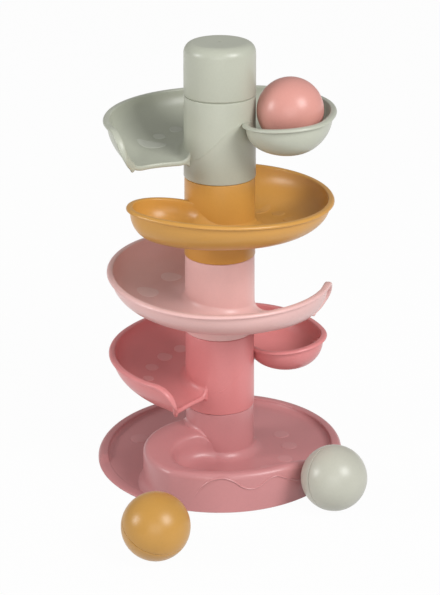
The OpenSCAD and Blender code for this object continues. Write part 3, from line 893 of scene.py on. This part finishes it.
# A ridge's section: share of its width to the side, and share of its height
RIDGE_SECTION = (
    (-0.62, -0.5), (-0.5, 0.0), (-0.28, 0.72), (0.0, 1.0), (0.28, 0.72), (0.5, 0.0), (0.62, -0.5))
RIDGE_TAPER = 0.15


def ridge(name, path, width, height, matrix):
    """A raised line along a path of (point, outward, sideways) in millimetres, thinned at both ends."""
    points = []
    for k, (at, out, side) in enumerate(path):
        share = ease(min(k, len(path) - 1 - k) / (RIDGE_TAPER * len(path)))
        for u, v in RIDGE_SECTION:
            tall = v * height * share if v > 0 else v * height
            points.append(np.array(at) + np.array(side) * u * width + np.array(out) * tall)
    return mesh_object(name, points, tube_faces(len(path), len(RIDGE_SECTION), closed=True), matrix)


# Mould line on a column: where it begins past the lip and ends, the heights of its ends, its section
PARTING_AFTER = 4
PARTING_END = 334
PARTING_ABOVE = 1
PARTING_BELOW = 0.5
PARTING_W = 0.6
PARTING_H = 0.22
PARTING_STEPS = 60


def parting_line(plan, trough, name, matrix):
    """The thin mould line that climbs the column from the lip to the start cup."""
    low = plan.floor_end_z + PARTING_ABOVE
    high = plan.rim_start_z - plan.rim_dip - PARTING_BELOW
    path = []
    for i in range(PARTING_STEPS + 1):
        turn = mix(trough.sweep + PARTING_AFTER, PARTING_END, i / PARTING_STEPS)
        z = mix(low, high, ease(i / PARTING_STEPS))
        out = np.array((cos_d(turn), sin_d(turn), 0.0))
        r = plan.column_r - plan.draft * z / plan.pitch
        path.append((out * r + np.array((0, 0, z)), out, np.array((0, 0, 1.0))))
    return ridge(name, path, PARTING_W, PARTING_H, matrix)


# Column: the grooves at its joints, the socket's bevel, the smallest radius, steps of its rounded rims
SEAM_GAP = 0.45
CAP_SEAM_GAP = 0.95
SOCKET_BEVEL = 0.4
AXIS_R = 0.001
RIM_STEPS = 4
TIP_STEPS = 3
# Key: play in its slot, how far the slot cuts past the spigot, room under and over the key, its bevel
KEY_PLAY = 0.4
SLOT_PAST = 1
KEY_UNDER = 2
KEY_OVER = 1
KEY_BEVEL = 0.4


def column_outline(plan, height, floor=None):
    """Outline of a column segment: outside, spigot, bore and socket."""
    c = plan.column_round
    slope = plan.socket_r - plan.bore_r
    inner = height - plan.trough_wall - slope
    tip_z = height + plan.spigot_h
    outline = [(plan.column_r - 2 * c, 0)]
    outline += arc((plan.column_r - c, c + SEAM_GAP), c, -90, 0, RIM_STEPS)
    outline += arc((plan.top_r - c, height - c), c, 0, 90, RIM_STEPS)
    outline += [(plan.spigot_r, height)]
    outline += arc((plan.spigot_r - c, tip_z - c), c, 0, 90, TIP_STEPS)
    outline += [(plan.bore_r, tip_z), (plan.bore_r, inner + slope), (plan.socket_r, inner)]
    if floor is None:
        return outline + [(plan.socket_r, SOCKET_BEVEL), (plan.socket_r + SOCKET_BEVEL, 0)]
    return outline + [(plan.socket_r, floor), (AXIS_R, floor), (AXIS_R, 0)]


def column(plan, name, level, height, floor=None):
    """A column segment with its spigot, the slot for the next segment's key, and its own key."""
    foot = plan.foot_z(level) if level >= 0 else 0
    body = turned(name, column_outline(plan, height, floor))
    depth = plan.column_wall + plan.spigot_wall
    tall = plan.spigot_h + SLOT_PAST
    place = (-(plan.bore_r - SLOT_PAST + depth / 2), 0, height + KEY_PLAY + tall / 2)
    slot_turn = plan.start_angle(level + 1)
    cut_away(body, box_object("slot", (depth, plan.key_w + 2 * KEY_PLAY, tall), place, slot_turn))
    pieces = [body]
    if floor is None:
        pieces.append(key(plan, plan.start_angle(level)))
    for obj in pieces:
        obj.data.transform(Matrix.Translation((0, 0, foot * MM)))
    return pieces


def key(plan, turn):
    """The key in a segment's socket."""
    depth = plan.column_r - plan.column_wall / 2 - plan.bore_r
    tall = plan.spigot_h - KEY_UNDER - KEY_OVER
    obj = box_object(
        "key", (depth, plan.key_w, tall), (-(plan.bore_r + depth / 2), 0, KEY_UNDER + tall / 2), turn)
    soften(obj, KEY_BEVEL)
    return obj


def node_group(name, inputs, outputs):
    """A new shader group with its sockets, and the sockets of its input and output nodes."""
    group = bpy.data.node_groups.new(name, "ShaderNodeTree")
    for label, (kind, default) in inputs.items():
        socket = group.interface.new_socket(name=label, in_out="INPUT", socket_type=kind)
        socket.default_value = default
    for label, kind in outputs.items():
        group.interface.new_socket(name=label, in_out="OUTPUT", socket_type=kind)
    return group, group.nodes.new("NodeGroupInput").outputs, group.nodes.new("NodeGroupOutput").inputs


def noise(tree, place, scale, detail):
    """A noise over the object's own coordinates."""
    node = tree.nodes.new("ShaderNodeTexNoise")
    node.inputs["Scale"].default_value = scale
    node.inputs["Detail"].default_value = detail
    tree.links.new(place.outputs["Object"], node.inputs["Vector"])
    return node.outputs["Fac"]


def math_node(tree, operation, *values):
    """The result of a math node whose values are numbers or sockets to link."""
    node = tree.nodes.new("ShaderNodeMath")
    node.operation = operation
    for socket, value in zip(node.inputs, values):
        if isinstance(value, bpy.types.NodeSocket):
            tree.links.new(value, socket)
        else:
            socket.default_value = value
    return node.outputs[0]


FLOAT = "NodeSocketFloat"
COLOUR = "NodeSocketColor"
NOISE_MEAN = 0.5
SPECK_SHARE = 0.35


def moulded_grain():
    """Node group: the fine grain of a spark-eroded mould, as a roughness and a bump height."""
    group, given, made = node_group(
        "Moulded grain", {"Roughness": (FLOAT, 0.4), "Spread": (FLOAT, 0.08)},
        {"Roughness": FLOAT, "Height": FLOAT})
    place = group.nodes.new("ShaderNodeTexCoord")
    patches = noise(group, place, 55, 4)
    grain = noise(group, place, 1400, 2)
    centred = math_node(group, "SUBTRACT", patches, NOISE_MEAN)
    rough = math_node(group, "MULTIPLY_ADD", centred, given["Spread"], given["Roughness"])
    group.links.new(rough, made["Roughness"])
    group.links.new(grain, made["Height"])
    return group


def flow_tint():
    """Node group: the soft light and dark that the flow of the melt leaves in a coloured plastic."""
    group, given, made = node_group(
        "Flow tint", {"Colour": (COLOUR, (0.5, 0.5, 0.5, 1)), "Strength": (FLOAT, 0.06)},
        {"Colour": COLOUR})
    place = group.nodes.new("ShaderNodeTexCoord")
    cloud = noise(group, place, 18, 3)
    speck = noise(group, place, 620, 1)
    both = math_node(group, "MULTIPLY_ADD", speck, SPECK_SHARE, cloud)
    centred = math_node(group, "SUBTRACT", both, NOISE_MEAN * (1 + SPECK_SHARE))
    level = math_node(group, "MULTIPLY_ADD", centred, given["Strength"], 1.0)
    shade = group.nodes.new("ShaderNodeVectorMath")
    shade.operation = "SCALE"
    group.links.new(given["Colour"], shade.inputs[0])
    group.links.new(level, shade.inputs["Scale"])
    group.links.new(shade.outputs["Vector"], made["Colour"])
    return group


def placed_group(tree, name, maker, **values):
    """A shared group placed in a material with its own values; it is made once."""
    node = tree.nodes.new("ShaderNodeGroup")
    node.node_tree = bpy.data.node_groups.get(name) or maker()
    for label, value in values.items():
        node.inputs[label].default_value = value
    return node.outputs


def new_material(name):
    """A material with nodes, and its node tree."""
    material = bpy.data.materials.new(name)
    material.use_nodes = True
    return material, material.node_tree


# Finish of a moulding, its spots and the balls: roughness and its spread over the surface
FINISH = (0.33, 0.14)
SPOT_FINISH = (0.5, 0.14)
BALL_FINISH = (0.34, 0.08)
GRAIN = 0.03
GRAIN_DEPTH = 0.0005
TINT = 0.16
PLASTIC_IOR = 1.49


def satin_plastic(name, rgb, finish=FINISH):
    """Satin moulded plastic of one colour, with a fine grain and soft flow marks."""
    found = bpy.data.materials.get(name)
    if found:
        return found
    material, tree = new_material(name)
    shader = tree.nodes["Principled BSDF"].inputs
    shader["IOR"].default_value = PLASTIC_IOR
    shader["Specular IOR Level"].default_value = 0.5
    flow = placed_group(tree, "Flow tint", flow_tint, Colour=(*rgb, 1), Strength=TINT)
    texture = placed_group(tree, "Moulded grain", moulded_grain, Roughness=finish[0], Spread=finish[1])
    bump = tree.nodes.new("ShaderNodeBump")
    bump.inputs["Strength"].default_value = GRAIN
    bump.inputs["Distance"].default_value = GRAIN_DEPTH
    tree.links.new(flow["Colour"], shader["Base Color"])
    tree.links.new(texture["Roughness"], shader["Roughness"])
    tree.links.new(texture["Height"], bump.inputs["Height"])
    tree.links.new(bump.outputs["Normal"], shader["Normal"])
    return material


PAPER = 0.62
FLOOR_FLAT = 0.97


def stage_white(name):
    """White of the floor: seen by the camera nearly as plain white, with the object's soft shadow."""
    material, tree = new_material(name)
    tree.nodes.clear()
    end = tree.nodes.new("ShaderNodeOutputMaterial")
    paper = tree.nodes.new("ShaderNodeBsdfDiffuse")
    paper.inputs["Color"].default_value = (PAPER, PAPER, PAPER, 1)
    glow = tree.nodes.new("ShaderNodeEmission")
    path = tree.nodes.new("ShaderNodeLightPath").outputs
    seen = math_node(tree, "MAXIMUM", path["Is Camera Ray"], path["Is Glossy Ray"])
    through = math_node(tree, "MAXIMUM", seen, path["Is Transmission Ray"])
    share = math_node(tree, "MULTIPLY", through, FLOOR_FLAT)
    blend = tree.nodes.new("ShaderNodeMixShader")
    for output, socket in zip((share, paper.outputs[0], glow.outputs[0]), blend.inputs):
        tree.links.new(output, socket)
    tree.links.new(blend.outputs[0], end.inputs["Surface"])
    return material


# Spots on each floor: turn from the start cup, radius and size, or half length, half width and bend
SPOTS = {
    "coral": [(88, 61.5, 5.6), (108.2, 61.8, 6.2), (127.5, 60.6, 6.9), (148.8, 61.6, 5.8),
              (168.2, 61.9, 4.8)],
    "blush": [(12.1, 61.3, 9.2), (49.1, 62.6, 9.6), (86, 62, 9), (121, 61.5, 8)],
    "mustard": [(104, 61.5, 6.8), (125, 61.5, 6.4), (145.5, 61.1, 6), (164.9, 60, 5.8),
                (182, 57.5, 5, 13, 3)],
    "sage": [(112, 61.5, 6.6), (132.5, 61.5, 6.2), (153, 61.8, 5.8), (172.8, 60.9, 5.4),
             (191.9, 59, 7, 13, -3)],
    "mauve": [(47, 61.5, 6.9), (71.3, 62, 7), (96.1, 61.2, 7.3), (119.2, 60.2, 7.2), (256.4, 76, 8)],
}
# How much lighter the spots are than the plastic round them
SPOT_SHARE = {"mauve": 0.05, "coral": 0.14, "blush": 0.2, "mustard": 0.02, "sage": 0.16}


def spots(surface, name, rgb, place):
    """The raised spots of one moulding, in a slightly lighter and duller plastic."""
    light = tuple(mix(c, 1.0, SPOT_SHARE[name]) for c in rgb)
    marks = [spot(surface, f"spot_{k}", place, *mark) for k, mark in enumerate(SPOTS[name])]
    return coated(marks, satin_plastic(name + "_spot", light, SPOT_FINISH))


# Wavy line on the tray's front wall: angle and height of its crests, dips and ends
WAVE = [(256.5, 7.5), (261.7, 23.0), (266.1, 30.0), (271.0, 32.6), (275.8, 29.8), (280.3, 23.6),
        (283.7, 21.2), (287.6, 22.2), (292.2, 27.6), (296.0, 29.2), (300.5, 25.4), (306.0, 20.5),
        (311.0, 18.5)]
WAVE_STEPS = 12
WAVE_W = 1.8
WAVE_H = 0.95


def wavy_line(plan):
    """The raised wavy line on the tray's front wall, drawn smoothly through its marks."""
    marks = [WAVE[0], *WAVE, WAVE[-1]]
    path = []
    for k in range(1, len(marks) - 2):
        before, here, there, after = [np.array(m) for m in marks[k - 1:k + 3]]
        for t in np.arange(WAVE_STEPS) / WAVE_STEPS:
            path.append(0.5 * (2 * here + (there - before) * t
                               + (2 * before - 5 * here + 4 * there - after) * t ** 2
                               + (3 * here - before - 3 * there + after) * t ** 3))
    points = np.array([(plan.tray_r * cos_d(a), plan.tray_r * sin_d(a), z) for a, z in path])
    line = []
    for (a, _), at, way in zip(path, points, np.gradient(points, axis=0)):
        out = np.array((cos_d(a), sin_d(a), 0.0))
        side = np.cross(out, way)
        line.append((at, out, side / np.linalg.norm(side)))
    return ridge("wavy_line", line, WAVE_W, WAVE_H, Matrix.Identity(4))


class TOWER_OT_tray(bpy.types.Operator):
    """Build the tray with its post, channel, shoulder and wavy line"""

    bl_idname = "tower.tray"
    bl_label = "Tray"

    def execute(self, context):
        plan = Plan(context.scene.tower_sizes)
        rgb = tuple(context.scene.tower_colours.mauve)
        tray = Tray(plan)
        place = Matrix.Rotation(math.radians(plan.pocket_start), 4, "Z")
        pieces = [mesh_object("tray", *tray.mesh(), place), mesh_object("collar", *tray.collar(), place)]
        pieces += column(plan, "post", -1, plan.post_h, plan.tray_wall)
        pieces.append(wavy_line(plan))
        coated(pieces, satin_plastic("mauve_plastic", rgb))
        pieces += spots(tray.surface_z, "mauve", rgb, place)
        tied(joined("tray_moulding", pieces), "tray", "tray_mauve", "base_tray")
        return {"FINISHED"}


class TOWER_OT_slides(bpy.types.Operator):
    """Build the four column segments with their spiral troughs"""

    bl_idname = "tower.slides"
    bl_label = "Slides"

    def execute(self, context):
        plan = Plan(context.scene.tower_sizes)
        for level, name in enumerate(SLIDES):
            rgb = tuple(getattr(context.scene.tower_colours, name))
            trough = Trough(plan, plan.sweeps[level], LIP_CURVE[name])
            place = Matrix.Translation((0, 0, plan.foot_z(level) * MM))
            place @= Matrix.Rotation(math.radians(plan.start_angle(level)), 4, "Z")
            pieces = [mesh_object(name + "_trough", *trough.mesh(), place),
                      mesh_object(name + "_edge", *trough.rolled_edge(), place),
                      parting_line(plan, trough, name + "_parting", place)]
            pieces += column(plan, name + "_column", level, plan.pitch)
            coated(pieces, satin_plastic(name + "_plastic", rgb))
            pieces += spots(trough.surface_z, name, rgb, place)
            tied(joined(name + "_slide", pieces), name + "_segment", name, "slide_" + name)
        return {"FINISHED"}


# Cap: steps of its rounding outside and inside, its slightly raised top, and the gate mark in its middle
CAP_STEPS = 14
CAP_INNER_STEPS = 6
CAP_CROWN = (0.6, 0.02)
GATE_R = (1.9, 1.6)
GATE_DEPTH = 0.25


class TOWER_OT_cap(bpy.types.Operator):
    """Build the cap that closes the column"""

    bl_idname = "tower.cap"
    bl_label = "Cap"

    def execute(self, context):
        plan = Plan(context.scene.tower_sizes)
        rgb = tuple(context.scene.tower_colours.sage)
        level = len(SLIDES)
        c = plan.column_round
        top = plan.cap_h
        r = plan.top_r - plan.cap_round
        centre = (r, top - plan.cap_round)
        foot_r = plan.column_r - c / 2
        outline = [(plan.socket_r, 0), (foot_r - 2 * c, 0)]
        outline += arc((foot_r - c, c + CAP_SEAM_GAP), c, -90, 0, RIM_STEPS)
        outline += arc(centre, plan.cap_round, 0, 90, CAP_STEPS)
        outline += [(r * CAP_CROWN[0], top + CAP_CROWN[1]), (GATE_R[0], top), (GATE_R[1], top - GATE_DEPTH)]
        outline += [(AXIS_R, top - GATE_DEPTH), (AXIS_R, top - plan.column_wall)]
        outline += arc(centre, plan.cap_round - plan.column_wall, 90, 0, CAP_INNER_STEPS)
        pieces = [turned("cap", outline), key(plan, plan.start_angle(level))]
        for obj in coated(pieces, satin_plastic("sage_plastic", rgb)):
            obj.data.transform(Matrix.Translation((0, 0, plan.foot_z(level) * MM)))
        tied(joined("cap_moulding", pieces), "cap", "sage", "top_cap")
        return {"FINISHED"}


# Turns of each ball's seam, in degrees, and the counts of its points
SEAM_TILTS = {"pink": (0, 40, -110), "mustard": (0, 29, -51), "sage": (0, 72, -52)}
BALL_SEGMENTS = 96
BALL_RINGS = 48
SEAM_SEGMENTS = 3


class TOWER_OT_balls(bpy.types.Operator):
    """Build the half shells of the three balls"""

    bl_idname = "tower.balls"
    bl_label = "Balls"

    def walled(self, obj, plan):
        """Gives a thin surface the ball's wall, inwards."""
        wall = obj.modifiers.new("wall", "SOLIDIFY")
        wall.thickness = plan.ball_wall * MM
        wall.offset = -1
        bpy.ops.object.modifier_apply(modifier=wall.name)
        return obj

    def lap(self, plan, name):
        """The ring inside a ball that laps the seam."""
        bpy.ops.mesh.primitive_cylinder_add(
            vertices=BALL_SEGMENTS, radius=(plan.ball_r - plan.ball_wall / 2) * MM,
            depth=plan.lap_h * MM, end_fill_type="NOTHING")
        return self.walled(named(name), plan)

    def half(self, plan, name, flip, centre, tilt):
        """One half shell: a sphere cut at its seam, given a wall, its seam edge bevelled."""
        edge_z = plan.seam_gap / 2 * MM
        limit = (plan.ball_r - plan.ball_wall / 2) * MM
        bpy.ops.mesh.primitive_uv_sphere_add(
            segments=BALL_SEGMENTS, ring_count=BALL_RINGS, radius=plan.ball_r * MM)
        obj = named(name)
        edit_all(obj)
        bpy.ops.mesh.bisect(plane_co=(0, 0, edge_z), plane_no=(0, 0, 1), clear_inner=True)
        bpy.ops.object.mode_set(mode="OBJECT")
        self.walled(obj, plan)
        bpy.ops.object.mode_set(mode="EDIT")
        bpy.ops.mesh.select_all(action="DESELECT")
        bpy.ops.mesh.select_mode(type="EDGE")
        bpy.ops.object.mode_set(mode="OBJECT")
        for edge in obj.data.edges:
            ends = [obj.data.vertices[i].co for i in edge.vertices]
            edge.select = all(abs(e.z - edge_z) < 1e-6 and e.length > limit for e in ends)
        bpy.ops.object.mode_set(mode="EDIT")
        bpy.ops.mesh.bevel(offset=plan.seam_w * MM, segments=SEAM_SEGMENTS)
        bpy.ops.mesh.select_mode(type="VERT")
        bpy.ops.object.mode_set(mode="OBJECT")
        turn = Euler([math.radians(a) for a in tilt]).to_matrix().to_4x4()
        if flip:
            turn @= Matrix.Rotation(math.pi, 4, "X")
        pieces = [obj] if flip else [obj, self.lap(plan, name + "_lap")]
        for piece in pieces:
            piece.data.transform(Matrix.Translation(centre) @ turn)
        return joined(name, pieces)

    def execute(self, context):
        plan = Plan(context.scene.tower_sizes)
        for name in BALLS:
            rgb = tuple(getattr(context.scene.tower_colours, "ball_" + name))
            corners = [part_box(f"{name}_ball_shell_{side}") for side in "ab"]
            low = Vector([min(c[0][i] for c in corners) for i in range(3)])
            high = Vector([max(c[1][i] for c in corners) for i in range(3)])
            material = satin_plastic(name + "_ball_plastic", rgb, BALL_FINISH)
            for side in "ab":
                shell = f"{name}_ball_half_{side}"
                whole = self.half(plan, shell, side == "b", (low + high) / 2, SEAM_TILTS[name])
                coated([whole], material)
                tied(whole, name + "_ball", "ball_" + name, f"{name}_ball_shell_{side}")
        return {"FINISHED"}


# Stage, in metres: soft lamps with place, size and power, the world's light, the floor and the camera
LAMPS = {
    "soft_right": ((1.39, -1.30, 1.61), (1.0, 1.0), 37),
    "soft_left": ((-2.16, -0.53, 1.01), (0.65, 0.7), 20),
    "wide_front": ((0, -2.2, 0.8), (1.6, 1.2), 12),
}
LAMP_TARGET = (0, 0, 0.15)
WORLD_LIGHT = 0.34
FLOOR_SIZE = 12
CAMERA_AT = (0.0002, -1.3944, 0.7165)
CAMERA_DOWN = 22.13
CAMERA_LENS = 106.8
CAMERA_CLIP = (0.05, 50)


class TOWER_OT_stage(bpy.types.Operator):
    """Set the floor, the lights, the world and the camera"""

    bl_idname = "tower.stage"
    bl_label = "Stage"

    def lamp(self, name, place, size, power):
        """A soft lamp that points at the tower and isn't seen itself."""
        data = bpy.data.lights.new(name, "AREA")
        data.shape = "RECTANGLE"
        data.size, data.size_y = size
        data.energy = power
        obj = bpy.data.objects.new(name, data)
        obj.location = place
        obj.rotation_euler = (Vector(LAMP_TARGET) - Vector(place)).to_track_quat("-Z", "Y").to_euler()
        obj.visible_camera = False
        bpy.context.scene.collection.objects.link(obj)

    def world(self, scene):
        """White all round: full for the camera, weaker as light."""
        scene.world = bpy.data.worlds.new("studio")
        scene.world.use_nodes = True
        tree = scene.world.node_tree
        sky = tree.nodes["Background"].inputs
        sky["Color"].default_value = (1, 1, 1, 1)
        path = tree.nodes.new("ShaderNodeLightPath")
        level = tree.nodes.new("ShaderNodeMapRange")
        level.inputs["To Min"].default_value = WORLD_LIGHT
        level.inputs["To Max"].default_value = 1.0
        tree.links.new(path.outputs["Is Camera Ray"], level.inputs["Value"])
        tree.links.new(level.outputs["Result"], sky["Strength"])

    def camera(self, scene):
        """The photo's camera."""
        data = bpy.data.cameras.new("photo_camera")
        data.lens = CAMERA_LENS
        data.clip_start, data.clip_end = CAMERA_CLIP
        scene.camera = bpy.data.objects.new("photo_camera", data)
        scene.camera.location = CAMERA_AT
        scene.camera.rotation_euler = (math.radians(90 - CAMERA_DOWN), 0, 0)
        scene.collection.objects.link(scene.camera)

    def execute(self, context):
        bpy.ops.mesh.primitive_plane_add(size=FLOOR_SIZE, location=(0, 0, 0))
        floor = named("floor")
        coated([floor], stage_white("floor_white"))
        self.world(context.scene)
        for name, (place, size, power) in LAMPS.items():
            self.lamp(name, place, size, power)
        self.camera(context.scene)
        context.scene.view_settings.view_transform = "Standard"
        return {"FINISHED"}


class TOWER_PT_panel(bpy.types.Panel):
    """Lists the tower's pieces, sizes and colours"""

    bl_idname = "TOWER_PT_panel"
    bl_label = "Ball tower"
    bl_space_type = "VIEW_3D"
    bl_region_type = "UI"
    bl_category = "Ball tower"

    def draw(self, context):
        layout = self.layout
        for operator in OPERATORS:
            layout.operator(operator.bl_idname)
        for group in (context.scene.tower_sizes, context.scene.tower_colours):
            box = layout.box()
            for key_name in type(group).__annotations__:
                box.prop(group, key_name)


OPERATORS = (TOWER_OT_tray, TOWER_OT_slides, TOWER_OT_cap, TOWER_OT_balls, TOWER_OT_stage)
CLASSES = (TowerSizes, TowerColours, *OPERATORS, TOWER_PT_panel)


def register():
    for cls in CLASSES:
        bpy.utils.register_class(cls)
    bpy.types.Scene.tower_sizes = bpy.props.PointerProperty(type=TowerSizes)
    bpy.types.Scene.tower_colours = bpy.props.PointerProperty(type=TowerColours)


def unregister():
    del bpy.types.Scene.tower_colours
    del bpy.types.Scene.tower_sizes
    for cls in reversed(CLASSES):
        bpy.utils.unregister_class(cls)


def main():
    register()
    bpy.ops.tower.tray()
    bpy.ops.tower.slides()
    bpy.ops.tower.cap()
    bpy.ops.tower.balls()
    bpy.ops.tower.stage()


if __name__ == "__main__":
    main()
